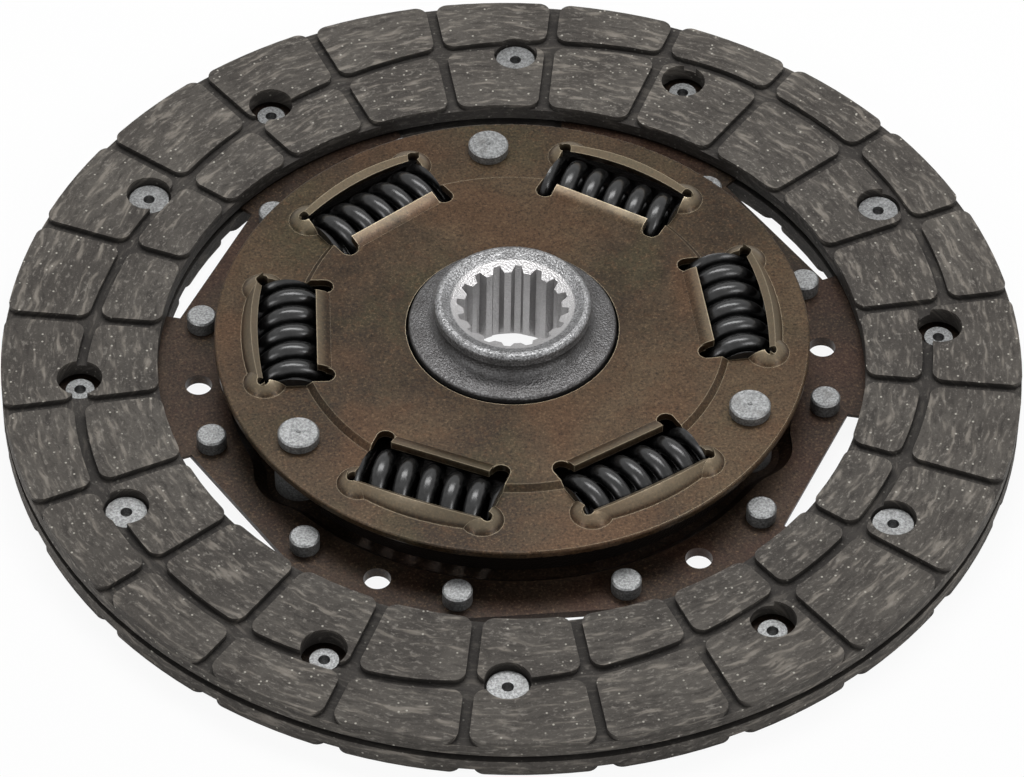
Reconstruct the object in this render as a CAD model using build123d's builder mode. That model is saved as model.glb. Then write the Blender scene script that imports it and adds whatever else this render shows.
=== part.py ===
"""Clutch disc with torsion damper: facings, cushion disc, two side plates, springs and splined hub."""
from build123d import *
from math import asin, atan2, cos, degrees, radians, sin, tan
import os

os.makedirs("parts", exist_ok=True)

# The origin is the centre of the lower friction face, on the spline axis, and +Z points to
# the side where the long end of the hub stands out. All lengths are millimetres.

# Friction facings
facing_outer_r = 95.0
facing_inner_r = 66.0
facing_t = 3.5
groove_w = 2.0
groove_depth = 1.2
radial_grooves = 24
first_groove_angle = 4.3
pad_corner_share = 0.076
ring_groove_course = (
    (4.3, 0.579), (34, 0.655), (57, 0.683), (72, 0.634), (94, 0.552), (112, 0.455), (139, 0.369),
    (165, 0.414), (187, 0.538), (207, 0.600), (230, 0.634), (252, 0.586), (280, 0.441),
    (303, 0.348), (333, 0.352), (364.3, 0.421),
)

# Facing rivets
rivets_per_set = 6
upper_rivet_angle = 24.0
lower_rivet_angle = 0.0
facing_bore_r = 4.25
facing_web_t = 1.2
facing_rivet_shank_r = 2.2
facing_rivet_head_r = 3.75
facing_rivet_head_t = 0.6
facing_rivet_clinch_r = 2.65
facing_rivet_clinch_h = 1.2
facing_rivet_hollow_r = 1.1
rivet_clearance = 0.05

# Cushion disc
cushion_t = 0.7
cushion_wave = 0.9
cushion_ring_clearance = 1.5
cushion_flat_depth = 3.0
cushion_neck_half_angle = 16.0
cushion_neck_overlap = 2.0
paddle_gap_angle = 3.0
paddle_margin = 1.5
paddle_flat_w = 12.0

# Carrier plate
carrier_t = 1.5
carrier_margin = 1.0
carrier_drop = 1.8
carrier_wall_run = 2.4
carrier_step_r = 53.6
pin_lobe_r = 8.3
step_blend_r = 12.0
carrier_window_inner_distance = 36.0
carrier_window_outer_distance = 46.4
carrier_window_corner_r = 1.0

# Rivets that join the cushion disc to the carrier plate
plate_rivets = 12
plate_rivet_circle_r = 59.0
plate_rivet_angle = 15.0
plate_rivet_shank_r = 2.0
plate_rivet_head_r = 2.75
plate_rivet_head_h = 2.9
plate_rivet_foot_r = 3.25
plate_rivet_foot_h = 1.2
plate_rivet_edge = 0.3
locating_hole_circle_r = 58.5
locating_hole_r = 2.5

# Cover plate
cover_t = 1.6
cover_outer_r = 55.3
cover_edge_r = 0.4
cover_step_r = 40.0
cover_rise = 1.1
cover_hole_clearance = 0.5
plate_gap = 10.35

# Damper springs
spring_outer_r = 7.4
spring_wire_r = 1.7
spring_pitch = 4.58
spring_circle_r = 41.2
spring_offset_angle = 33.3
spring_depth = 4.0
spring_end_clearance = 0.05
spring_side_clearance = 0.3

# Spring windows of the cover plate
window_half_length = 13.0
window_outer_distance = 46.0
window_inner_distance = 36.3
outer_relief = (13.0, 46.3, 1.1)
inner_relief = (11.3, 34.73, 1.7)

# Window lips: sheet pressed up along each spring, the outer one a barrel and the inner one a roll
outer_lip_distance = 38.5
outer_lip_middle_r = 13.06
outer_lip_end_r = 10.95
outer_lip_half_length = 14.2
outer_lip_edge_angle = 40.3
inner_lip_distance = 38.0
inner_lip_r = 7.95
inner_lip_half_length = 9.6

# Domes that close the outer lip at the two ends of its window
dome_distance = 46.0
dome_offset = 12.0
dome_sphere_r = 5.0
dome_h = 2.0

# Stop pins
stop_pins = 3
first_pin_angle = 90.0
pin_circle_r = 47.85
pin_body_r = 4.5
pin_neck_r = 3.0
pin_head_r = 3.8
pin_head_h = 1.95
pin_foot_r = 4.0
pin_foot_h = 0.5
pin_edge = 0.3
pin_punch_r = 0.45
pin_punch_depth = 0.4

# Hub
hub_top_z = 22.1
hub_bottom_z = 1.5
hub_rim_r = 14.6
hub_rim_h = 2.2
hub_rim_blend = 0.9
hub_neck_r = 13.8
hub_neck_blend = 2.4
hub_collar_r = 19.3
hub_collar_z = 16.2
hub_collar_inner_z = 16.8
hub_collar_edge = 0.5
hub_boss_r = 15.5
hub_boss_edge = 0.6
flange_t = 5.0
flange_rim_w = 3.1
flange_corner_r = 0.5
twist_limit = 7.0
pin_stop_clearance = 0.08
spline_teeth = 16
spline_minor_r = 9.1
spline_major_r = 10.4
spline_space_w = 2.25
spline_floor_w = 1.2
lead_in_r = 13.2
lead_in_angle = 23.8
lower_lead_in = 2.4

# Friction stack on the two sides of the flange
boss_clearance = 0.5
running_clearance = 0.05
washer_clearance = 0.05
washer_outer_r = 29.0
lower_washer_t = 1.5
pressure_ring_t = 0.7
cone_spring_t = 0.4
cone_spring_outer_r = 27.5


# Radii and distances that follow from the sizes above
facing_w = facing_outer_r - facing_inner_r
pad_corner_r = pad_corner_share * facing_w
facing_rivet_circle_r = facing_inner_r + facing_w / 2
paddle_inner_r = facing_inner_r + paddle_margin
paddle_outer_r = facing_outer_r - paddle_margin
cushion_ring_outer_r = facing_inner_r - cushion_ring_clearance
cushion_flat_distance = cushion_ring_outer_r - cushion_flat_depth
flange_window_inner_distance = spring_circle_r - spring_outer_r - spring_side_clearance
flange_window_outer_distance = spring_circle_r + spring_outer_r + spring_side_clearance
flange_outer_r = flange_window_outer_distance + flange_rim_w

# Heights that follow from the sizes above
cushion_gap = cushion_t + cushion_wave
middle_z = facing_t + cushion_gap / 2
disc_top_z = 2 * facing_t + cushion_gap
cushion_bottom_z = middle_z - cushion_t / 2
cushion_top_z = middle_z + cushion_t / 2
carrier_bottom_z = cushion_bottom_z - carrier_t
pocket_top_z = cushion_bottom_z - carrier_drop
pocket_bottom_z = carrier_bottom_z - carrier_drop
cover_bottom_z = pocket_top_z + plate_gap
cover_top_z = cover_bottom_z + cover_t
cover_inner_top_z = cover_top_z + cover_rise
cover_inner_bottom_z = cover_bottom_z + cover_rise
spring_z = cover_bottom_z - spring_depth
flange_bottom_z = spring_z - flange_t / 2
flange_top_z = spring_z + flange_t / 2

pin_angles = [first_pin_angle + k * 360 / stop_pins for k in range(stop_pins)]
spring_angles = [pin + side * spring_offset_angle for pin in pin_angles for side in (-1, 1)]
groove_angles = [first_groove_angle + k * 360 / radial_grooves for k in range(radial_grooves)]
sector_angle = 360 / radial_grooves
set_angle = 360 / rivets_per_set


def polar(radius, angle):
    """Point at a radius and an angle in degrees."""
    return (radius * cos(radians(angle)), radius * sin(radians(angle)))


def turned(angle):
    """Location turned about the disc's axis."""
    return Location((0, 0, 0), (0, 0, angle))


def ring_groove_radius(angle):
    """Centre-line radius of the wandering ring groove, whose course is in shares of the facing's width."""
    angle = (angle - first_groove_angle) % 360 + first_groove_angle
    for (a0, s0), (a1, s1) in zip(ring_groove_course, ring_groove_course[1:]):
        if a0 <= angle <= a1:
            return facing_inner_r + facing_w * (s0 + (s1 - s0) * (angle - a0) / (a1 - a0))
    return facing_inner_r + facing_w * ring_groove_course[-1][1]


def pad_outline(start, inner_radii, outer_radii):
    """One friction pad between two radial grooves, from its start, middle and end radii."""
    middle = start + sector_angle / 2
    end = start + sector_angle
    half = groove_w / 2

    def corner(radius, angle, side):
        shift = degrees(asin(half / radius)) * side
        return polar(radius, angle + shift)

    inner = [corner(inner_radii[0], start, 1), polar(inner_radii[1], middle), corner(inner_radii[2], end, -1)]
    outer = [corner(outer_radii[2], end, -1), polar(outer_radii[1], middle), corner(outer_radii[0], start, 1)]
    with BuildSketch() as pad:
        with BuildLine():
            ThreePointArc(*inner)
            Line(inner[2], outer[0])
            ThreePointArc(*outer)
            Line(outer[2], inner[0])
        make_face()
        fillet(pad.vertices(), pad_corner_r)
    return pad.sketch


def sector_radii(start, shift):
    """Ring groove radii over a sector, moved by half the groove to one side."""
    inset = 0.001
    angles = (start + inset, start + sector_angle / 2, start + sector_angle - inset)
    return [ring_groove_radius(a) + shift for a in angles]


def build_facing(own_angle, other_angle):
    """Facing with its friction side up: grooved pads on a plain ring, and rivet holes."""
    pads = []
    for start in groove_angles:
        edge_in = [facing_inner_r] * 3
        edge_out = [facing_outer_r] * 3
        pads.append(pad_outline(start, edge_in, sector_radii(start, -groove_w / 2)))
        pads.append(pad_outline(start, sector_radii(start, groove_w / 2), edge_out))
    with BuildPart() as facing:
        with BuildSketch():
            Circle(facing_outer_r)
            Circle(facing_inner_r, mode=Mode.SUBTRACT)
        extrude(amount=facing_t - groove_depth)
        with BuildSketch(Plane.XY.offset(facing_t - groove_depth)):
            add(pads)
        extrude(amount=groove_depth)
        with BuildSketch(Plane.XY.offset(facing_web_t)):
            with PolarLocations(facing_rivet_circle_r, rivets_per_set, own_angle):
                Circle(facing_bore_r)
        extrude(amount=facing_t, mode=Mode.SUBTRACT)
        with BuildSketch():
            with PolarLocations(facing_rivet_circle_r, rivets_per_set, own_angle):
                Circle(facing_rivet_shank_r + rivet_clearance)
            with PolarLocations(facing_rivet_circle_r, rivets_per_set, other_angle):
                Circle(facing_bore_r)
        extrude(amount=facing_t, mode=Mode.SUBTRACT)
    return facing.part


def build_facing_rivets(angle):
    """Tubular rivets: head in the facing's counterbore, clinched end beyond the paddle."""
    grip = facing_web_t + cushion_t
    with BuildPart() as rivets:
        with BuildSketch(Plane.XY.offset(-cushion_t - facing_rivet_clinch_h)):
            with PolarLocations(facing_rivet_circle_r, rivets_per_set, angle):
                Circle(facing_rivet_clinch_r)
        extrude(amount=facing_rivet_clinch_h)
        with BuildSketch(Plane.XY.offset(-cushion_t)):
            with PolarLocations(facing_rivet_circle_r, rivets_per_set, angle):
                Circle(facing_rivet_shank_r)
        extrude(amount=grip)
        with BuildSketch(Plane.XY.offset(facing_web_t)):
            with PolarLocations(facing_rivet_circle_r, rivets_per_set, angle):
                Circle(facing_rivet_head_r)
        extrude(amount=facing_rivet_head_t)
        with BuildSketch(Plane.XY.offset(-cushion_t - facing_rivet_clinch_h)):
            with PolarLocations(facing_rivet_circle_r, rivets_per_set, angle):
                Circle(facing_rivet_hollow_r)
        extrude(amount=facing_rivet_clinch_h + grip + facing_rivet_head_t, mode=Mode.SUBTRACT)
    return rivets.part


def flattened_disc(outer_r, flat_distance):
    """Disc with six flats, one between each two paddle necks."""
    with BuildSketch() as outline:
        Circle(outer_r)
        for k in range(rivets_per_set):
            with Locations(turned((k + 0.5) * set_angle)):
                with Locations((flat_distance + outer_r, 0)):
                    Rectangle(2 * outer_r, 2 * outer_r, mode=Mode.SUBTRACT)
    return outline.sketch


def step_outline(grow):
    """Edge of the lowered centre: a circle with a lobe round each stop pin."""
    with BuildSketch() as outline:
        Circle(carrier_step_r + grow)
        for angle in pin_angles:
            with Locations(polar(pin_circle_r, angle)):
                Circle(pin_lobe_r + grow)
        fillet(outline.vertices(), step_blend_r - grow)
    return outline.sketch


def build_cushion_disc():
    """One spring-steel sheet: a flat ring with six waved paddles."""
    wave = cushion_wave / 2
    paddle_middle = (upper_rivet_angle + lower_rivet_angle) / 2
    half_span = (set_angle - paddle_gap_angle) / 2
    crest_x = facing_rivet_circle_r * sin(radians(abs(upper_rivet_angle - lower_rivet_angle) / 2))
    flat = paddle_flat_w / 2
    edge_x = paddle_outer_r * sin(radians(half_span))
    neck_r = paddle_inner_r + cushion_neck_overlap
    with BuildPart() as paddle:
        with BuildSketch(Plane.YZ.offset(paddle_inner_r * cos(radians(half_span)) - cushion_t)):
            with BuildLine():
                Polyline(
                    (-edge_x - cushion_t, middle_z - cushion_t / 2),
                    (-crest_x - flat, middle_z - wave - cushion_t / 2),
                    (-crest_x + flat, middle_z - wave - cushion_t / 2),
                    (crest_x - flat, middle_z + wave - cushion_t / 2),
                    (crest_x + flat, middle_z + wave - cushion_t / 2),
                    (edge_x + cushion_t, middle_z - cushion_t / 2),
                    (edge_x + cushion_t, middle_z + cushion_t / 2),
                    (crest_x + flat, middle_z + wave + cushion_t / 2),
                    (crest_x - flat, middle_z + wave + cushion_t / 2),
                    (-crest_x + flat, middle_z - wave + cushion_t / 2),
                    (-crest_x - flat, middle_z - wave + cushion_t / 2),
                    (-edge_x - cushion_t, middle_z + cushion_t / 2),
                    close=True,
                )
            make_face()
        extrude(amount=paddle_outer_r)
        with BuildSketch():
            with BuildLine():
                CenterArc((0, 0), paddle_outer_r, -half_span, 2 * half_span)
                CenterArc((0, 0), paddle_inner_r, -half_span, 2 * half_span)
                Line(polar(paddle_inner_r, -half_span), polar(paddle_outer_r, -half_span))
                Line(polar(paddle_inner_r, half_span), polar(paddle_outer_r, half_span))
            make_face()
        extrude(amount=disc_top_z, mode=Mode.INTERSECT)
    with BuildPart() as disc:
        with BuildSketch(Plane.XY.offset(cushion_bottom_z)):
            add(flattened_disc(cushion_ring_outer_r, cushion_flat_distance))
            for k in range(rivets_per_set):
                start = k * set_angle - cushion_neck_half_angle
                end = k * set_angle + cushion_neck_half_angle
                with BuildLine():
                    CenterArc((0, 0), neck_r, start, end - start)
                    Line((0, 0), polar(neck_r, start))
                    Line((0, 0), polar(neck_r, end))
                make_face()
            add(step_outline(0), mode=Mode.SUBTRACT)
        extrude(amount=cushion_t)
        for k in range(rivets_per_set):
            add(turned(paddle_middle + k * set_angle) * paddle.part)
        with BuildSketch():
            with PolarLocations(facing_rivet_circle_r, rivets_per_set, upper_rivet_angle):
                Circle(facing_rivet_shank_r + rivet_clearance)
            with PolarLocations(facing_rivet_circle_r, rivets_per_set, lower_rivet_angle):
                Circle(facing_rivet_shank_r + rivet_clearance)
            with PolarLocations(plate_rivet_circle_r, plate_rivets, plate_rivet_angle):
                Circle(plate_rivet_shank_r + rivet_clearance)
            with PolarLocations(locating_hole_circle_r, rivets_per_set):
                Circle(locating_hole_r)
        extrude(amount=disc_top_z, mode=Mode.SUBTRACT)
    return disc.part


def window_sketch():
    """Six spring windows of the cover plate, with relief notches in their corners."""
    outer_y, outer_d, outer_r = outer_relief
    inner_y, inner_d, inner_r = inner_relief
    notch_w = window_inner_distance - inner_d
    with BuildSketch() as windows:
        for angle in spring_angles:
            with Locations(turned(angle)):
                with Locations(((window_inner_distance + window_outer_distance) / 2, 0)):
                    Rectangle(window_outer_distance - window_inner_distance, 2 * window_half_length)
                with Locations((outer_d, -outer_y), (outer_d, outer_y)):
                    Circle(outer_r)
                with Locations((inner_d, -inner_y), (inner_d, inner_y)):
                    Circle(inner_r)
                with Locations((inner_d + notch_w / 2, -inner_y), (inner_d + notch_w / 2, inner_y)):
                    Rectangle(notch_w, 2 * inner_r)
    return windows.sketch


def above(part, height):
    """The share of a piece above a height."""
    side = 4 * cover_outer_r
    with BuildPart() as upper:
        add(part)
        with Locations((0, 0, height + side / 2)):
            Box(side, side, side, mode=Mode.INTERSECT)
    return upper.part


def build_roll(distance, radii, half_length, from_d, to_d):
    """Barrel or roll about a line along the spring, kept between two distances."""
    middle_r, end_r = radii
    height = 4 * middle_r
    with BuildPart() as roll:
        with BuildSketch(Plane(origin=(distance, 0, spring_z), x_dir=(0, 1, 0), z_dir=(0, 0, -1))):
            with BuildLine():
                if middle_r == end_r:
                    Line((-half_length, end_r), (half_length, end_r))
                else:
                    ThreePointArc((-half_length, end_r), (0, middle_r), (half_length, end_r))
                Polyline((half_length, end_r), (half_length, 0), (-half_length, 0), (-half_length, end_r))
            make_face()
        revolve(axis=Axis((distance, 0, spring_z), (0, 1, 0)))
        with Locations(((from_d + to_d) / 2, 0, spring_z)):
            Box(to_d - from_d, 3 * half_length, height, mode=Mode.INTERSECT)
    return roll.part


def build_domes(radius):
    """Two spheres at the outer corners of a window."""
    centre_z = cover_top_z + dome_h - dome_sphere_r
    with BuildPart() as domes:
        with Locations((dome_distance, -dome_offset, centre_z), (dome_distance, dome_offset, centre_z)):
            Sphere(radius)
    return domes.part


def build_lip_edge():
    """Wedge over the outer lip, which trims the lip square to its sheet."""
    reach = 2 * outer_lip_middle_r
    edge = (reach * cos(radians(outer_lip_edge_angle)), reach * sin(radians(outer_lip_edge_angle)))
    with BuildPart() as wedge:
        with BuildSketch(Plane(origin=(outer_lip_distance, 0, spring_z), x_dir=(1, 0, 0), z_dir=(0, -1, 0))):
            Polygon((0, 0), edge, (0, reach), align=None)
        extrude(amount=window_half_length, both=True)
    return wedge.part


def lip_tools():
    """Blanks for the pressed-up sheet of one window, and the hollows behind it."""
    lip_reach = outer_lip_distance + outer_lip_middle_r
    spring_edge = spring_circle_r + (spring_outer_r**2 - spring_depth**2) ** 0.5 + spring_side_clearance
    hollow_end_r = ((spring_edge - outer_lip_distance) ** 2 + spring_depth**2) ** 0.5
    outer_radii = (outer_lip_middle_r, outer_lip_end_r)
    outer_hollow_radii = (outer_lip_middle_r - cover_t, hollow_end_r)
    inner_radii = (inner_lip_r, inner_lip_r)
    inner_hollow_radii = (inner_lip_r - cover_t, inner_lip_r - cover_t)
    inner_from = inner_lip_distance - inner_lip_r
    outer_roll = build_roll(
        outer_lip_distance, outer_radii, outer_lip_half_length, window_outer_distance, lip_reach
    )
    inner_roll = build_roll(
        inner_lip_distance, inner_radii, inner_lip_half_length, inner_from, window_inner_distance
    )
    outer_hollow = build_roll(
        outer_lip_distance, outer_hollow_radii, window_half_length, outer_lip_distance, lip_reach
    )
    inner_hollow = build_roll(
        inner_lip_distance, inner_hollow_radii, inner_lip_half_length, inner_from, inner_lip_distance
    )
    middle_z = cover_bottom_z + cover_t / 2
    blanks = [
        above(outer_roll, middle_z),
        above(inner_roll, middle_z),
        above(build_domes(dome_sphere_r), middle_z),
    ]
    hollows = [
        above(outer_hollow, cover_bottom_z),
        above(inner_hollow, cover_bottom_z),
        above(build_domes(dome_sphere_r - cover_t), cover_bottom_z),
        build_lip_edge(),
    ]
    return blanks, hollows


def build_carrier_plate():
    """Carrier plate: flat rim under the cushion disc and a lowered centre with spring windows."""
    rim_r = cushion_ring_outer_r - carrier_margin
    rim_flat = cushion_flat_distance - carrier_margin / 2
    slope = degrees(atan2(carrier_drop, carrier_wall_run))
    bend = carrier_t * tan(radians(slope / 2))
    window_middle = (carrier_window_inner_distance + carrier_window_outer_distance) / 2
    window_w = carrier_window_outer_distance - carrier_window_inner_distance
    with BuildPart() as plate:
        with BuildSketch(Plane.XY.offset(carrier_bottom_z)):
            add(flattened_disc(rim_r, rim_flat))
        extrude(amount=carrier_t)
        with BuildSketch(Plane.XY.offset(carrier_bottom_z)):
            add(step_outline(bend))
        with BuildSketch(Plane.XY.offset(pocket_bottom_z)):
            add(step_outline(bend - carrier_wall_run))
        loft(ruled=True)
        with BuildSketch(Plane.XY.offset(cushion_bottom_z)):
            add(step_outline(0))
        with BuildSketch(Plane.XY.offset(pocket_top_z)):
            add(step_outline(-carrier_wall_run))
        loft(ruled=True, mode=Mode.SUBTRACT)
        with BuildSketch() as windows:
            for angle in spring_angles:
                with Locations(turned(angle)):
                    with Locations((window_middle, 0)):
                        Rectangle(window_w, 2 * window_half_length)
            fillet(windows.vertices(), carrier_window_corner_r)
        extrude(amount=disc_top_z, mode=Mode.SUBTRACT)
        with BuildSketch():
            Circle(hub_boss_r + boss_clearance)
            with PolarLocations(pin_circle_r, stop_pins, first_pin_angle):
                Circle(pin_neck_r + rivet_clearance)
            with PolarLocations(plate_rivet_circle_r, plate_rivets, plate_rivet_angle):
                Circle(plate_rivet_shank_r + rivet_clearance)
            with PolarLocations(locating_hole_circle_r, rivets_per_set):
                Circle(locating_hole_r)
        extrude(amount=disc_top_z, mode=Mode.SUBTRACT)
    return plate.part


def build_cover_plate():
    """Cover plate: disc with a raised centre, spring windows and pressed-up window lips."""
    blanks, hollows = lip_tools()
    hole_r = hub_collar_r + cover_hole_clearance
    step = cover_rise / 2
    with BuildPart() as plate:
        with BuildSketch(Plane.XZ) as section:
            Polygon(
                (hole_r, cover_inner_bottom_z),
                (cover_step_r - step, cover_inner_bottom_z),
                (cover_step_r + step, cover_bottom_z),
                (cover_outer_r, cover_bottom_z),
                (cover_outer_r, cover_top_z),
                (cover_step_r + step, cover_top_z),
                (cover_step_r - step, cover_inner_top_z),
                (hole_r, cover_inner_top_z),
                align=None,
            )
            fillet(section.vertices().group_by(Axis.X)[-1], cover_edge_r)
        revolve(axis=Axis.Z)
        for angle in spring_angles:
            add([turned(angle) * blank for blank in blanks])
        for angle in spring_angles:
            add([turned(angle) * hollow for hollow in hollows], mode=Mode.SUBTRACT)
        with BuildSketch(Plane.XY.offset(cover_bottom_z - cover_t)):
            add(window_sketch())
            with PolarLocations(pin_circle_r, stop_pins, first_pin_angle):
                Circle(pin_neck_r + rivet_clearance)
        extrude(amount=hub_top_z - cover_bottom_z, mode=Mode.SUBTRACT)
    return plate.part


def build_plate_rivets():
    """Solid rivets with tall flat heads on the cushion disc and closed ends under the carrier."""
    with BuildPart() as rivets:
        with BuildSketch(Plane.XY.offset(carrier_bottom_z - plate_rivet_foot_h)):
            with PolarLocations(plate_rivet_circle_r, plate_rivets, plate_rivet_angle):
                Circle(plate_rivet_foot_r)
        extrude(amount=plate_rivet_foot_h)
        with BuildSketch(Plane.XY.offset(carrier_bottom_z)):
            with PolarLocations(plate_rivet_circle_r, plate_rivets, plate_rivet_angle):
                Circle(plate_rivet_shank_r)
        extrude(amount=carrier_t + cushion_t)
        with BuildSketch(Plane.XY.offset(cushion_top_z)):
            with PolarLocations(plate_rivet_circle_r, plate_rivets, plate_rivet_angle):
                Circle(plate_rivet_head_r)
        extrude(amount=plate_rivet_head_h)
        chamfer(rivets.edges().group_by(Axis.Z)[-1], plate_rivet_edge)
    return rivets.part


def build_stop_pin():
    """Stop pin: distance body between the plates, necks through them, and formed ends."""
    with BuildPart() as pin:
        with BuildSketch(Plane.XZ):
            Polygon(
                (0, pocket_bottom_z - pin_foot_h),
                (pin_foot_r, pocket_bottom_z - pin_foot_h),
                (pin_foot_r, pocket_bottom_z),
                (pin_neck_r, pocket_bottom_z),
                (pin_neck_r, pocket_top_z),
                (pin_body_r, pocket_top_z),
                (pin_body_r, cover_bottom_z),
                (pin_neck_r, cover_bottom_z),
                (pin_neck_r, cover_top_z),
                (pin_head_r, cover_top_z),
                (pin_head_r, cover_top_z + pin_head_h - pin_edge),
                (pin_head_r - pin_edge, cover_top_z + pin_head_h),
                (pin_punch_r, cover_top_z + pin_head_h),
                (0, cover_top_z + pin_head_h - pin_punch_depth),
                align=None,
            )
        revolve(axis=Axis.Z)
    return pin.part


def build_damper_spring():
    """Coil spring along Z, centred on the origin, with ground flat ends."""
    mean_r = spring_outer_r - spring_wire_r
    length = 2 * (window_half_length - spring_end_clearance)
    reach = length + 2 * spring_wire_r
    with BuildPart() as spring:
        with BuildLine(Plane.XY.offset(-reach / 2)) as coil:
            Helix(spring_pitch, reach, mean_r)
        with BuildSketch(Plane(origin=coil.line @ 0, z_dir=coil.line % 0)):
            Circle(spring_wire_r)
        sweep(is_frenet=True)
        Box(4 * spring_outer_r, 4 * spring_outer_r, length, mode=Mode.INTERSECT)
    return spring.part


def build_hub():
    """Splined hub with a flange that carries the spring windows and the pin notches."""
    lead_in_drop = (lead_in_r - spline_minor_r) * tan(radians(lead_in_angle))
    notch_half = degrees(asin((pin_body_r + pin_stop_clearance) / pin_circle_r)) + twist_limit
    notch_inner_r = pin_circle_r - pin_body_r - spring_side_clearance
    notch_reach = 2 * flange_outer_r
    window_middle = (flange_window_inner_distance + flange_window_outer_distance) / 2
    window_w = flange_window_outer_distance - flange_window_inner_distance
    rim_top = (hub_rim_r, hub_top_z)
    rim_bottom_z = hub_top_z - hub_rim_h
    neck_foot = (hub_neck_r, hub_collar_inner_z)
    collar_edge = (hub_collar_r, hub_collar_z)
    flank = (spline_space_w - spline_floor_w) / (spline_major_r - spline_minor_r)
    mouth_x = spline_minor_r - spline_floor_w
    mouth_half = (spline_space_w + flank * spline_floor_w) / 2
    with BuildPart() as hub:
        with BuildSketch(Plane.XZ) as section:
            Polygon(
                (hub_collar_r, flange_top_z),
                (flange_outer_r, flange_top_z),
                (flange_outer_r, flange_bottom_z),
                (hub_boss_r, flange_bottom_z),
                (hub_boss_r, hub_bottom_z + hub_boss_edge),
                (hub_boss_r - hub_boss_edge, hub_bottom_z),
                (spline_minor_r + lower_lead_in, hub_bottom_z),
                (spline_minor_r, hub_bottom_z + lower_lead_in),
                (spline_minor_r, hub_top_z - lead_in_drop),
                (lead_in_r, hub_top_z),
                rim_top,
                (hub_rim_r, rim_bottom_z),
                (hub_neck_r, rim_bottom_z - (hub_rim_r - hub_neck_r)),
                neck_foot,
                collar_edge,
                align=None,
            )
            fillet(section.vertices().sort_by_distance(rim_top)[0], hub_rim_blend)
            fillet(section.vertices().sort_by_distance(neck_foot)[0], hub_neck_blend)
            fillet(section.vertices().sort_by_distance(collar_edge)[0], hub_collar_edge)
        revolve(axis=Axis.Z)
        with BuildSketch(Plane.XY.offset(hub_bottom_z)):
            with PolarLocations(0, spline_teeth, 180 / spline_teeth):
                Polygon(
                    (mouth_x, -mouth_half),
                    (spline_major_r, -spline_floor_w / 2),
                    (spline_major_r, spline_floor_w / 2),
                    (mouth_x, mouth_half),
                    align=None,
                )
        extrude(amount=hub_top_z - hub_bottom_z, mode=Mode.SUBTRACT)
        with BuildSketch(Plane.XY.offset(flange_bottom_z)) as openings:
            for angle in spring_angles:
                with Locations(turned(angle)):
                    with Locations((window_middle, 0)):
                        Rectangle(window_w, 2 * window_half_length)
            fillet(openings.vertices(), flange_corner_r)
            for angle in pin_angles:
                with BuildLine():
                    Polyline(
                        polar(notch_inner_r, angle - notch_half),
                        polar(notch_reach, angle - notch_half),
                        polar(notch_reach, angle + notch_half),
                        polar(notch_inner_r, angle + notch_half),
                    )
                    ThreePointArc(
                        polar(notch_inner_r, angle + notch_half),
                        polar(notch_inner_r, angle),
                        polar(notch_inner_r, angle - notch_half),
                    )
                make_face()
        extrude(amount=flange_t, mode=Mode.SUBTRACT)
    return hub.part


def build_ring(inner_r, outer_r, bottom_z, height):
    """Flat ring."""
    with BuildPart() as ring:
        with BuildSketch(Plane.XY.offset(bottom_z)):
            Circle(outer_r)
            Circle(inner_r, mode=Mode.SUBTRACT)
        extrude(amount=height)
    return ring.part


def build_cone_spring(bottom_z, top_z):
    """Coned spring washer that stands on the carrier plate and lifts the pressure ring."""
    inner_r = hub_boss_r + boss_clearance
    with BuildPart() as cone:
        with BuildSketch(Plane.XZ):
            Polygon(
                (inner_r, top_z - cone_spring_t),
                (cone_spring_outer_r, bottom_z),
                (cone_spring_outer_r, bottom_z + cone_spring_t),
                (inner_r, top_z),
                align=None,
            )
        revolve(axis=Axis.Z)
    return cone.part


def write(part, name):
    part.label = name
    export_step(part, f"parts/{name}.step")


facing = build_facing(upper_rivet_angle, lower_rivet_angle)
facing_rivets = build_facing_rivets(upper_rivet_angle)
face_up = Location((0, 0, facing_t + cushion_gap))
flip_angle = (upper_rivet_angle + lower_rivet_angle) / 2
face_down = turned(flip_angle) * Location((0, 0, facing_t), (180, 0, 0)) * turned(-flip_angle)
write(face_up * facing, "upper_facing")
write(face_down * facing, "lower_facing")
write(face_up * facing_rivets, "upper_facing_rivets")
write(face_down * facing_rivets, "lower_facing_rivets")

write(build_cushion_disc(), "cushion_disc")
write(build_carrier_plate(), "carrier_plate")
write(build_plate_rivets(), "plate_rivets")
write(build_cover_plate(), "cover_plate")
write(build_hub(), "hub")

stop_pin = build_stop_pin()
for number, angle in enumerate(pin_angles, start=1):
    write(Location((*polar(pin_circle_r, angle), 0)) * stop_pin, f"stop_pin_{number}")

damper_spring = build_damper_spring()
for number, angle in enumerate(spring_angles, start=1):
    seat = turned(angle) * Location((spring_circle_r, 0, spring_z), (90, 0, 0))
    write(seat * damper_spring, f"damper_spring_{number}")

upper_washer_inner_r = hub_collar_r + boss_clearance
upper_washer_z = flange_top_z + washer_clearance
upper_washer_t = cover_inner_bottom_z - washer_clearance - upper_washer_z
lower_washer_z = flange_bottom_z - washer_clearance - lower_washer_t
pressure_ring_z = lower_washer_z - pressure_ring_t
pressure_ring_inner_r = hub_boss_r + boss_clearance
upper_washer = build_ring(upper_washer_inner_r, washer_outer_r, upper_washer_z, upper_washer_t)
lower_washer = build_ring(hub_boss_r + running_clearance, washer_outer_r, lower_washer_z, lower_washer_t)
pressure_ring = build_ring(pressure_ring_inner_r, washer_outer_r, pressure_ring_z, pressure_ring_t)
write(upper_washer, "friction_washer_upper")
write(lower_washer, "friction_washer_lower")
write(pressure_ring, "pressure_ring")
write(build_cone_spring(pocket_top_z, pressure_ring_z), "cone_spring")
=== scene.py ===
"""Looks of the clutch disc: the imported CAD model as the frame, its materials, lights and camera."""
import math

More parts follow.
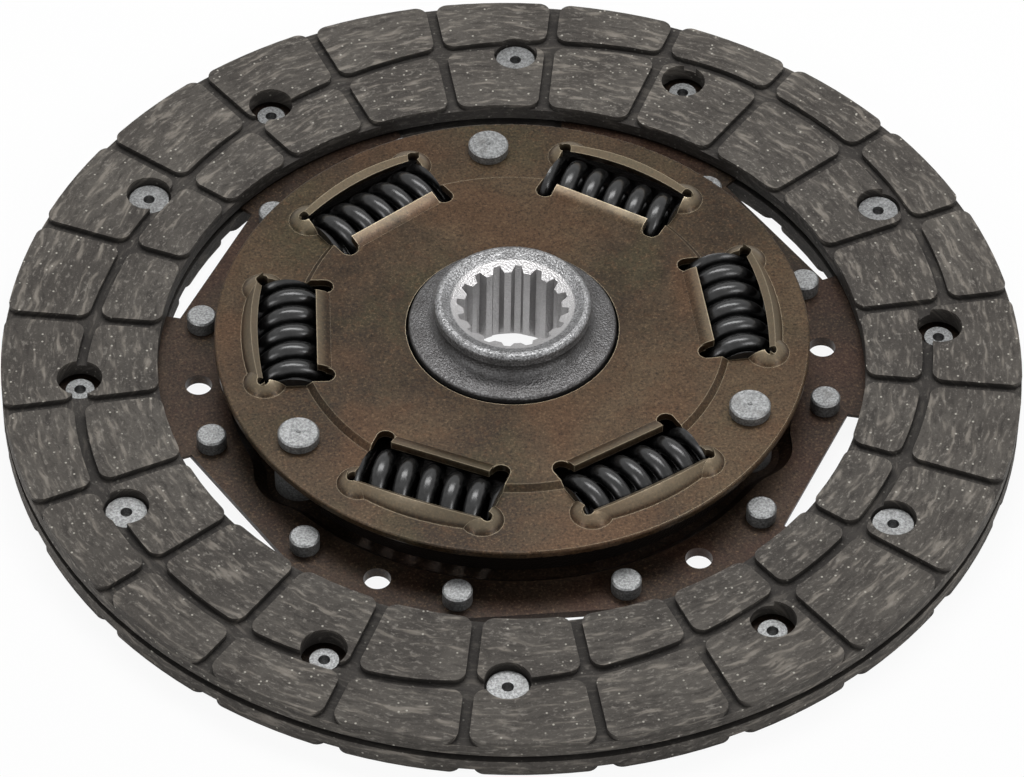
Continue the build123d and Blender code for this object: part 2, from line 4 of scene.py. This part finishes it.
import bpy
from mathutils import Matrix, Vector

# Everything is in metres and in the row frame: +Z is the spline axis, and z = 0 is the lower face.
MM = 0.001

# Camera, fitted to the photograph
AIM = Vector((-0.4, -5.0, 3.8)) * MM
CAMERA_DISTANCE = 1090.4 * MM
LOOK_AZIMUTH = math.radians(83.72)
LOOK_DOWN = math.radians(46.74)
ROLL = math.radians(1.08)
LENS = 205.76
SENSOR = 36.0
CLIP_START = 10.0 * MM

# Heights and radii that the materials follow
FACING_MIDDLE_Z = 4.3 * MM
PAD_BOTTOM_DEPTH = 0.9 * MM
PAD_TOP_DEPTH = 0.2 * MM
FACING_OUTER_R = 95.0 * MM
COVER_TOP_Z = 14.1 * MM
CENTRE_TOP_Z = 15.2 * MM
STEP_R = 40.0 * MM
STEP_HALF = 0.5 * MM
RIM_BOTTOM_Z = 19.9 * MM
NECK_R = 13.0 * MM
BORE_R = 11.2 * MM
COLLAR_R = 19.4 * MM

# Floor and world
FLOOR_SIZE = 8.0
FLOOR_DROP = 0.3 * MM
FLOOR_TONE = 0.8
FLOOR_ROUGH = 0.9
FLOOR_GLOW_SHARE = 0.92
WORLD_FILL = 0.3

# Soft rectangular lamps, aimed at the origin: name, place, width, height, watts
LAMPS = (
    ("overhead", (0.04, 0.15, 0.45), 0.45, 0.15, 1.85),
    ("front_left", (-0.60, -0.50, 0.50), 0.30, 0.30, 1.4),
    ("front_right", (0.58, -0.52, 0.50), 0.30, 0.30, 1.7),
)

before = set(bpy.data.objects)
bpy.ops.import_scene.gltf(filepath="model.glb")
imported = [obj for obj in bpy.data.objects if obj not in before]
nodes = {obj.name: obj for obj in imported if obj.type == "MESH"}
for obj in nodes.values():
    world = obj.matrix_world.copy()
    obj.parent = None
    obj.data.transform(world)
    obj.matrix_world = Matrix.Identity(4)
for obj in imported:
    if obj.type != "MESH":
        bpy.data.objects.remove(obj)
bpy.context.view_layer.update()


class Shader:
    """A node material, built by short calls. Texture scales are waves per metre."""

    def __init__(self, name):
        self.material = bpy.data.materials.new(name)
        self.material.use_nodes = True
        self.tree = self.material.node_tree
        self.bsdf = self.tree.nodes["Principled BSDF"]
        self.coords = self.tree.nodes.new("ShaderNodeTexCoord").outputs["Object"]
        self.x, self.y, self.z = self.split(self.coords)
        squares = self.math("ADD", self.math("MULTIPLY", self.x, self.x), self.math("MULTIPLY", self.y, self.y))
        self.radius = self.math("SQRT", squares)

    def node(self, kind, **settings):
        made = self.tree.nodes.new(kind)
        for key, value in settings.items():
            setattr(made, key, value)
        return made

    def feed(self, socket, value):
        if isinstance(value, bpy.types.NodeSocket):
            self.tree.links.new(value, socket)
        else:
            socket.default_value = value

    def math(self, operation, a, b=0.0):
        made = self.node("ShaderNodeMath", operation=operation)
        self.feed(made.inputs[0], a)
        self.feed(made.inputs[1], b)
        return made.outputs[0]

    def combine(self, x, y, z):
        made = self.node("ShaderNodeCombineXYZ")
        for socket, value in zip(made.inputs, (x, y, z)):
            self.feed(socket, value)
        return made.outputs[0]

    def split(self, vector):
        made = self.node("ShaderNodeSeparateXYZ")
        self.feed(made.inputs[0], vector)
        return made.outputs[0], made.outputs[1], made.outputs[2]

    def noise(self, vector, scale, detail=2.0, roughness=0.5, distortion=0.0):
        made = self.node("ShaderNodeTexNoise", noise_dimensions="3D")
        self.feed(made.inputs["Vector"], vector)
        made.inputs["Scale"].default_value = scale
        made.inputs["Detail"].default_value = detail
        made.inputs["Roughness"].default_value = roughness
        made.inputs["Distortion"].default_value = distortion
        return made.outputs["Fac"]

    def cells(self, vector, scale):
        made = self.node("ShaderNodeTexVoronoi", voronoi_dimensions="3D", feature="F1")
        self.feed(made.inputs["Vector"], vector)
        made.inputs["Scale"].default_value = scale
        return made.outputs["Distance"]

    def ramp(self, value, low, high, bottom=0.0, top=1.0):
        """Runs smoothly from bottom at low to top at high."""
        made = self.node("ShaderNodeMapRange", interpolation_type="SMOOTHSTEP")
        self.feed(made.inputs["Value"], value)
        made.inputs["From Min"].default_value = low
        made.inputs["From Max"].default_value = high
        made.inputs["To Min"].default_value = bottom
        made.inputs["To Max"].default_value = top
        return made.outputs["Result"]

    def blend(self, factor, a, b):
        made = self.node("ShaderNodeMix", data_type="RGBA")
        self.feed(made.inputs["Factor"], factor)
        self.feed(made.inputs["A"], a)
        self.feed(made.inputs["B"], b)
        return made.outputs["Result"]

    def cavity(self, distance):
        """One on open surfaces, towards zero in hollows; the materials paint shade into hollows with it."""
        made = self.node("ShaderNodeAmbientOcclusion", samples=8)
        made.inputs["Distance"].default_value = distance
        return made.outputs["AO"]

    def edge(self, distance):
        """One along edges, zero on smooth surfaces."""
        bevel = self.node("ShaderNodeBevel", samples=4)
        bevel.inputs["Radius"].default_value = distance
        geometry = self.node("ShaderNodeNewGeometry")
        dot = self.node("ShaderNodeVectorMath", operation="DOT_PRODUCT")
        self.feed(dot.inputs[0], bevel.outputs["Normal"])
        self.feed(dot.inputs[1], geometry.outputs["Normal"])
        return self.ramp(dot.outputs["Value"], 0.97, 0.8)

    def bump(self, height, strength, distance, normal=None):
        made = self.node("ShaderNodeBump")
        made.inputs["Strength"].default_value = strength
        made.inputs["Distance"].default_value = distance
        self.feed(made.inputs["Height"], height)
        if normal is not None:
            self.feed(made.inputs["Normal"], normal)
        return made.outputs["Normal"]

    def set(self, **values):
        names = {"color": "Base Color", "rough": "Roughness", "metal": "Metallic", "normal": "Normal",
                 "specular": "Specular IOR Level", "coat": "Coat Weight", "coat_rough": "Coat Roughness"}
        for key, value in values.items():
            self.feed(self.bsdf.inputs[names[key]], value)
        return self.material

    def woven(self, turn_scale, radial_scale, wobble, detail):
        """Noise stretched along the circles round the spline axis, without a seam."""
        turn_x = self.math("MULTIPLY", self.math("DIVIDE", self.x, self.radius), turn_scale)
        turn_y = self.math("MULTIPLY", self.math("DIVIDE", self.y, self.radius), turn_scale)
        depth = self.math("MULTIPLY", self.math("ADD", self.radius, self.z), radial_scale)
        place = self.combine(turn_x, turn_y, self.math("ADD", depth, wobble))
        return self.noise(place, 1.0, detail, 0.6)


def rgb(red, green, blue):
    """An sRGB colour of 0 to 255 as linear RGBA."""
    def linear(c):
        c = c / 255
        return c / 12.92 if c <= 0.04045 else ((c + 0.055) / 1.055) ** 2.4
    return (linear(red), linear(green), linear(blue), 1.0)


def friction_lining():
    """Moulded woven lining: warm dark grey, pale fibre bundles along the circles, bright specks."""
    s = Shader("friction_lining")
    wobble = s.math("MULTIPLY", s.noise(s.coords, 120.0, 2.0), 3.0)
    bundles = s.woven(14.0, 900.0, wobble, 1.5)
    flecks = s.woven(60.0, 1600.0, wobble, 2.0)
    patches = s.noise(s.coords, 70.0, 3.0, 0.6)
    grain = s.noise(s.coords, 2200.0, 3.0, 0.75)
    specks = s.cells(s.coords, 520.0)

    # Ground, then dark and pale fibre, then grain and specks
    color = s.blend(s.ramp(patches, 0.3, 0.7), rgb(61, 57, 53), rgb(80, 76, 71))
    color = s.blend(s.ramp(bundles, 0.46, 0.26, 0.0, 0.75), color, rgb(46, 42, 39))
    color = s.blend(s.ramp(bundles, 0.52, 0.74, 0.0, 0.62), color, rgb(138, 131, 122))
    color = s.blend(s.ramp(flecks, 0.54, 0.74, 0.0, 0.6), color, rgb(132, 127, 120))
    color = s.blend(s.ramp(flecks, 0.45, 0.25, 0.0, 0.6), color, rgb(44, 41, 38))
    color = s.blend(s.ramp(grain, 0.42, 0.2, 0.0, 0.6), color, rgb(34, 32, 30))
    color = s.blend(s.ramp(grain, 0.56, 0.8, 0.0, 0.6), color, rgb(140, 136, 130))
    color = s.blend(s.ramp(specks, 0.15, 0.05, 0.0, 0.9), color, rgb(178, 174, 164))

    # The grooves between the pads are painted darker as painted shade; the pad faces and the outer rim keep the
    # lining colour
    depth = s.math("ABSOLUTE", s.math("SUBTRACT", s.z, FACING_MIDDLE_Z))
    pad = s.ramp(depth, FACING_MIDDLE_Z - PAD_BOTTOM_DEPTH, FACING_MIDDLE_Z - PAD_TOP_DEPTH)
    rim = s.ramp(s.radius, FACING_OUTER_R - 0.2 * MM, FACING_OUTER_R - 0.05 * MM)
    groove = s.blend(0.55, color, rgb(30, 27, 26))
    color = s.blend(s.math("MAXIMUM", pad, rim), groove, color)
    # Painted shade in hollows such as the rivet holes and grooves
    color = s.blend(s.ramp(s.cavity(3.0 * MM), 0.35, 0.85, 0.75, 0.0), color, rgb(18, 16, 15))

    normal = s.bump(bundles, 0.45, 0.3 * MM)
    normal = s.bump(flecks, 0.4, 0.2 * MM, normal)
    normal = s.bump(grain, 0.45, 0.15 * MM, normal)
    return s.set(color=color, rough=0.78, specular=0.3, normal=normal)


def oiled_sheet(name, dark, light, warm, olive, rough, highlight_and_wear=None):
    """Oiled phosphated sheet: broad tone patches, coloured grain, a satin film, painted highlights on the
    raised lips, pale edges that are partly wear and partly painted highlight, and painted shade in hollows.
    """
    s = Shader(name)
    broad = s.noise(s.coords, 34.0, 3.0, 0.55)
    tint = s.noise(s.coords, 52.0, 2.0, 0.5, 0.4)
    fine_tint = s.noise(s.coords, 900.0, 2.0, 0.6)
    grain = s.noise(s.coords, 2000.0, 3.0, 0.75)
    pits = s.noise(s.coords, 420.0, 4.0, 0.6)

    color = s.blend(s.ramp(broad, 0.32, 0.68), dark, light)
    color = s.blend(s.ramp(tint, 0.5, 0.7, 0.0, 0.75), color, warm)
    color = s.blend(s.ramp(tint, 0.48, 0.3, 0.0, 0.75), color, olive)
    color = s.blend(s.ramp(fine_tint, 0.5, 0.72, 0.0, 0.5), color, warm)
    color = s.blend(s.ramp(grain, 0.52, 0.27, 0.0, 0.85), color, rgb(20, 14, 10))
    color = s.blend(s.ramp(grain, 0.52, 0.75, 0.0, 0.5), color, rgb(116, 96, 72))
    if highlight_and_wear is not None:
        # Painted highlight: wherever the sheet rises above the plate, as on the window lips, it is lightened
        # towards pale cream
        plate_top = s.ramp(s.radius, STEP_R - STEP_HALF, STEP_R + STEP_HALF, CENTRE_TOP_Z, COVER_TOP_Z)
        raised = s.math("SUBTRACT", s.z, plate_top)
        color = s.blend(s.ramp(raised, 0.25 * MM, 1.3 * MM, 0.0, 0.2), color, highlight_and_wear)
        # Pale edges: partly edge wear, partly painted highlight
        color = s.blend(s.math("MULTIPLY", s.edge(0.35 * MM), 0.75), color, highlight_and_wear)
    # Painted shade in hollows and under the parts that lie above the sheet
    color = s.blend(s.ramp(s.cavity(5.0 * MM), 0.15, 0.7, 0.7, 0.0), color, rgb(20, 15, 13))

    normal = s.bump(grain, 0.4, 0.08 * MM)
    normal = s.bump(pits, 0.25, 0.1 * MM, normal)
    gloss = s.ramp(pits, 0.3, 0.7, rough - 0.06, rough + 0.08)
    return s.set(color=color, rough=gloss, metal=0.5, specular=0.2, coat=0.08, coat_rough=0.2,
                 normal=normal)


def plated_steel():
    """Matte plated steel of the rivets and pins, with painted shade in hollows."""
    s = Shader("plated_steel")
    grain = s.noise(s.coords, 2400.0, 2.0, 0.7)
    stain = s.noise(s.coords, 320.0, 3.0, 0.6)
    color = s.blend(s.ramp(grain, 0.3, 0.7), rgb(98, 99, 99), rgb(150, 151, 151))
    color = s.blend(s.ramp(stain, 0.5, 0.75, 0.0, 0.5), color, rgb(84, 81, 78))
    # Painted shade in hollows and under the cover
    color = s.blend(s.ramp(s.cavity(4.0 * MM), 0.2, 0.75, 0.6, 0.0), color, rgb(24, 21, 20))
    return s.set(color=color, rough=0.42, metal=0.6, normal=s.bump(grain, 0.4, 0.1 * MM))


def black_spring():
    """Glossy black coil wire, with painted shade where it is enclosed."""
    s = Shader("black_spring")
    grain = s.noise(s.coords, 1200.0, 3.0, 0.6)
    color = s.blend(s.ramp(grain, 0.35, 0.7), rgb(12, 12, 12), rgb(34, 34, 34))
    # Painted shade between the coils and under the plates
    color = s.blend(s.ramp(s.cavity(5.0 * MM), 0.2, 0.7, 0.9, 0.0), color, rgb(2, 2, 2))
    return s.set(color=color, rough=0.27, metal=0.0, specular=0.6, normal=s.bump(grain, 0.25, 0.1 * MM))


def forged_steel():
    """Shot-blasted hub: a pale spline bore that is partly bare finish and partly painted light, painted shade
    on the neck under the rim and in hollows, and the flange outside the collar painted near black as shade.
    """
    s = Shader("forged_steel")
    grain = s.noise(s.coords, 2600.0, 3.0, 0.75)
    blasted = s.cells(s.coords, 2600.0)
    patches = s.noise(s.coords, 240.0, 3.0, 0.6)
    color = s.blend(s.ramp(grain, 0.32, 0.68), rgb(84, 84, 84), rgb(158, 158, 159))
    color = s.blend(s.ramp(patches, 0.42, 0.7, 0.0, 0.5), color, rgb(70, 69, 69))

    # Painted shade on the neck under the rim
    below_rim = s.ramp(s.z, RIM_BOTTOM_Z, RIM_BOTTOM_Z - 0.8 * MM)
    neck = s.math("MULTIPLY", below_rim, s.ramp(s.radius, NECK_R, NECK_R + 0.4 * MM))
    color = s.blend(s.math("MULTIPLY", neck, 0.72), color, rgb(46, 43, 42))
    # Painted light: the spline bore is lightened, partly for its bare finish and partly for light on its far
    # wall
    color = s.blend(s.ramp(s.radius, BORE_R + 0.5 * MM, BORE_R, 0.0, 0.7), color, rgb(196, 194, 194))
    # Painted shade in hollows, weaker inside the bore
    outside = s.ramp(s.radius, BORE_R, BORE_R + 0.6 * MM, 0.25, 0.7)
    hollow = s.math("MULTIPLY", s.ramp(s.cavity(4.0 * MM), 0.2, 0.75, 1.0, 0.0), outside)
    color = s.blend(hollow, color, rgb(14, 12, 12))
    # Painted shade: the flange outside the collar lies under the cover and is painted near black
    color = s.blend(s.ramp(s.radius, COLLAR_R, COLLAR_R + 0.2 * MM), color, rgb(26, 21, 18))

    normal = s.bump(blasted, 0.6, 0.12 * MM)
    normal = s.bump(grain, 0.4, 0.08 * MM, normal)
    return s.set(color=color, rough=0.4, metal=0.7, normal=normal)


def washer_plastic():
    """Dark friction plastic of the hidden washers."""
    s = Shader("washer_plastic")
    grain = s.noise(s.coords, 900.0, 2.0, 0.6)
    color = s.blend(s.ramp(grain, 0.3, 0.7), rgb(34, 32, 30), rgb(58, 54, 50))
    return s.set(color=color, rough=0.6, normal=s.bump(grain, 0.3, 0.1 * MM))


def dress(material, *names):
    """Gives CAD nodes a material."""
    for name in names:
        slots = nodes[name].data.materials
        slots.clear()
        slots.append(material)


def light(name, place, width, height, watts):
    """A soft rectangular lamp, aimed at the origin."""
    data = bpy.data.lights.new(name, "AREA")
    data.shape = "RECTANGLE"
    data.size = width
    data.size_y = height
    data.energy = watts
    lamp = bpy.data.objects.new(name, data)
    lamp.location = place
    lamp.rotation_euler = (-Vector(place)).to_track_quat("-Z", "Y").to_euler()
    bpy.context.scene.collection.objects.link(lamp)


def seen_directly(tree):
    """One for the rays that show a surface as it is: from the camera, glass or a mirror."""
    path = tree.nodes.new("ShaderNodeLightPath")
    first = tree.nodes.new("ShaderNodeMath")
    first.operation = "MAXIMUM"
    second = tree.nodes.new("ShaderNodeMath")
    second.operation = "MAXIMUM"
    tree.links.new(path.outputs["Is Camera Ray"], first.inputs[0])
    tree.links.new(path.outputs["Is Transmission Ray"], first.inputs[1])
    tree.links.new(first.outputs[0], second.inputs[0])
    tree.links.new(path.outputs["Is Glossy Ray"], second.inputs[1])
    return second.outputs[0]


def make_floor():
    """White floor that keeps a faint shadow of the disc."""
    bpy.ops.mesh.primitive_plane_add(size=FLOOR_SIZE, location=(0.0, 0.0, -FLOOR_DROP))
    floor = bpy.context.object
    floor.name = "floor"
    material = bpy.data.materials.new("floor_white")
    material.use_nodes = True
    tree = material.node_tree
    bsdf = tree.nodes["Principled BSDF"]
    bsdf.inputs["Base Color"].default_value = (FLOOR_TONE, FLOOR_TONE, FLOOR_TONE, 1.0)
    bsdf.inputs["Roughness"].default_value = FLOOR_ROUGH
    glow = tree.nodes.new("ShaderNodeEmission")
    glow.inputs["Strength"].default_value = 1.0
    mix = tree.nodes.new("ShaderNodeMixShader")
    share = tree.nodes.new("ShaderNodeMath")
    share.operation = "MULTIPLY"
    share.inputs[1].default_value = FLOOR_GLOW_SHARE
    tree.links.new(seen_directly(tree), share.inputs[0])
    tree.links.new(share.outputs[0], mix.inputs["Fac"])
    tree.links.new(bsdf.outputs[0], mix.inputs[1])
    tree.links.new(glow.outputs[0], mix.inputs[2])
    tree.links.new(mix.outputs[0], tree.nodes["Material Output"].inputs["Surface"])
    floor.data.materials.append(material)


def make_world():
    """Even studio fill that the camera sees as white."""
    world = bpy.data.worlds.new("studio")
    bpy.context.scene.world = world
    world.use_nodes = True
    tree = world.node_tree
    fill = tree.nodes["Background"]
    fill.inputs["Color"].default_value = (1.0, 1.0, 1.0, 1.0)
    fill.inputs["Strength"].default_value = WORLD_FILL
    white = tree.nodes.new("ShaderNodeBackground")
    white.inputs["Strength"].default_value = 1.0
    mix = tree.nodes.new("ShaderNodeMixShader")
    tree.links.new(seen_directly(tree), mix.inputs["Fac"])
    tree.links.new(fill.outputs[0], mix.inputs[1])
    tree.links.new(white.outputs[0], mix.inputs[2])
    tree.links.new(mix.outputs[0], tree.nodes["World Output"].inputs["Surface"])


def make_camera():
    """Camera at the photograph's viewing angle."""
    look = Vector((
        math.cos(LOOK_DOWN) * math.cos(LOOK_AZIMUTH),
        math.cos(LOOK_DOWN) * math.sin(LOOK_AZIMUTH),
        -math.sin(LOOK_DOWN),
    ))
    level = look.cross(Vector((0.0, 0.0, 1.0))).normalized()
    upright = level.cross(look)
    right = level * math.cos(ROLL) + upright * math.sin(ROLL)
    up = right.cross(look)
    turn = Matrix((right, up, -look)).transposed()
    data = bpy.data.cameras.new("camera")
    data.lens = LENS
    data.sensor_width = SENSOR
    data.sensor_fit = "HORIZONTAL"
    data.clip_start = CLIP_START
    camera = bpy.data.objects.new("camera", data)
    camera.matrix_world = Matrix.Translation(AIM - look * CAMERA_DISTANCE) @ turn.to_4x4()
    bpy.context.scene.collection.objects.link(camera)
    bpy.context.scene.camera = camera


springs = [f"damper_spring_{k}" for k in range(1, 7)]
pins = [f"stop_pin_{k}" for k in range(1, 4)]
cover_sheet = oiled_sheet(
    "cover_sheet", dark=rgb(44, 34, 24), light=rgb(74, 60, 44), warm=rgb(74, 53, 36),
    olive=rgb(60, 54, 37), rough=0.36, highlight_and_wear=rgb(186, 172, 146),
)
carrier_sheet = oiled_sheet(
    "carrier_sheet", dark=rgb(38, 29, 23), light=rgb(58, 46, 37), warm=rgb(56, 38, 30),
    olive=rgb(42, 36, 28), rough=0.4,
)
dress(friction_lining(), "upper_facing", "lower_facing")
dress(cover_sheet, "cover_plate")
dress(carrier_sheet, "cushion_disc", "carrier_plate", "pressure_ring")
dress(plated_steel(), "upper_facing_rivets", "lower_facing_rivets", "plate_rivets", *pins)
dress(black_spring(), "cone_spring", *springs)
dress(forged_steel(), "hub")
dress(washer_plastic(), "friction_washer_upper", "friction_washer_lower")

make_floor()
make_world()
for lamp_values in LAMPS:
    light(*lamp_values)
make_camera()
bpy.context.scene.view_settings.view_transform = "Standard"
